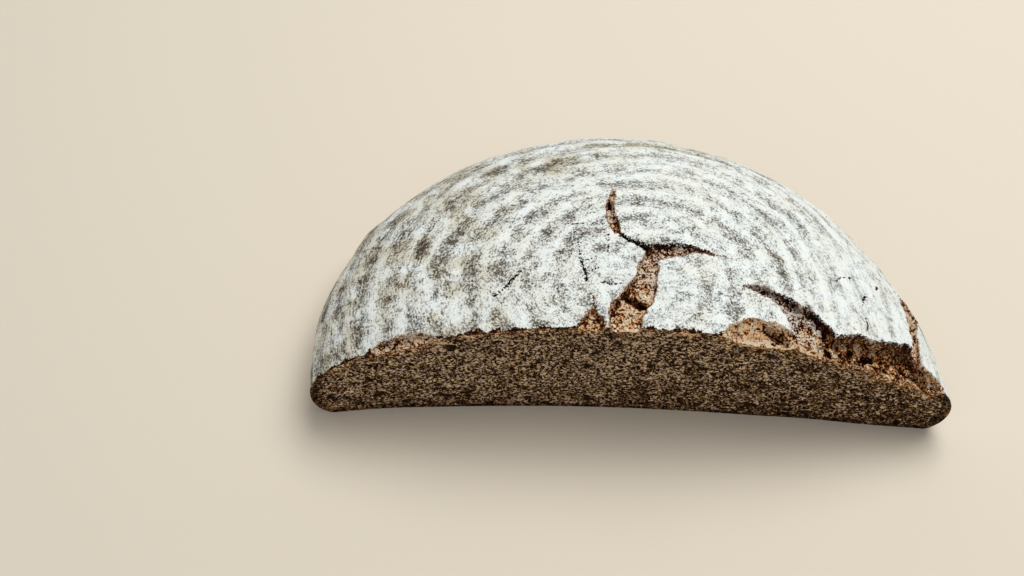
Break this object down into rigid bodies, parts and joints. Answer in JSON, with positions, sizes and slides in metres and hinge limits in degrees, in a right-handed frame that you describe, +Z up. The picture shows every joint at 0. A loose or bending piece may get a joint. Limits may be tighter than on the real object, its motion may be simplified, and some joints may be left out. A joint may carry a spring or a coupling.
{
  "type": "half rye bread loaf",
  "caption": "Half of a round rye loaf: a low floured dome with a burst crust, a flat base and an open-crumbed cut face.",
  "frame": {"origin": "under the middle of the half loaf's bounding box, on the flat base", "axes": "+Z up from the base; the cut face looks along -Y, and the cut runs tip to tip along X"},
  "size_m": [0.2406, 0.113, 0.0695],
  "materials": {
    "floured_crust": "dull baked crust under pale flour",
    "rye_crumb": "matt, open-pored grey-brown crumb"
  },
  "bodies": {
    "root": {"half_loaf": "floured_crust"}
  },
  "joints": []
}
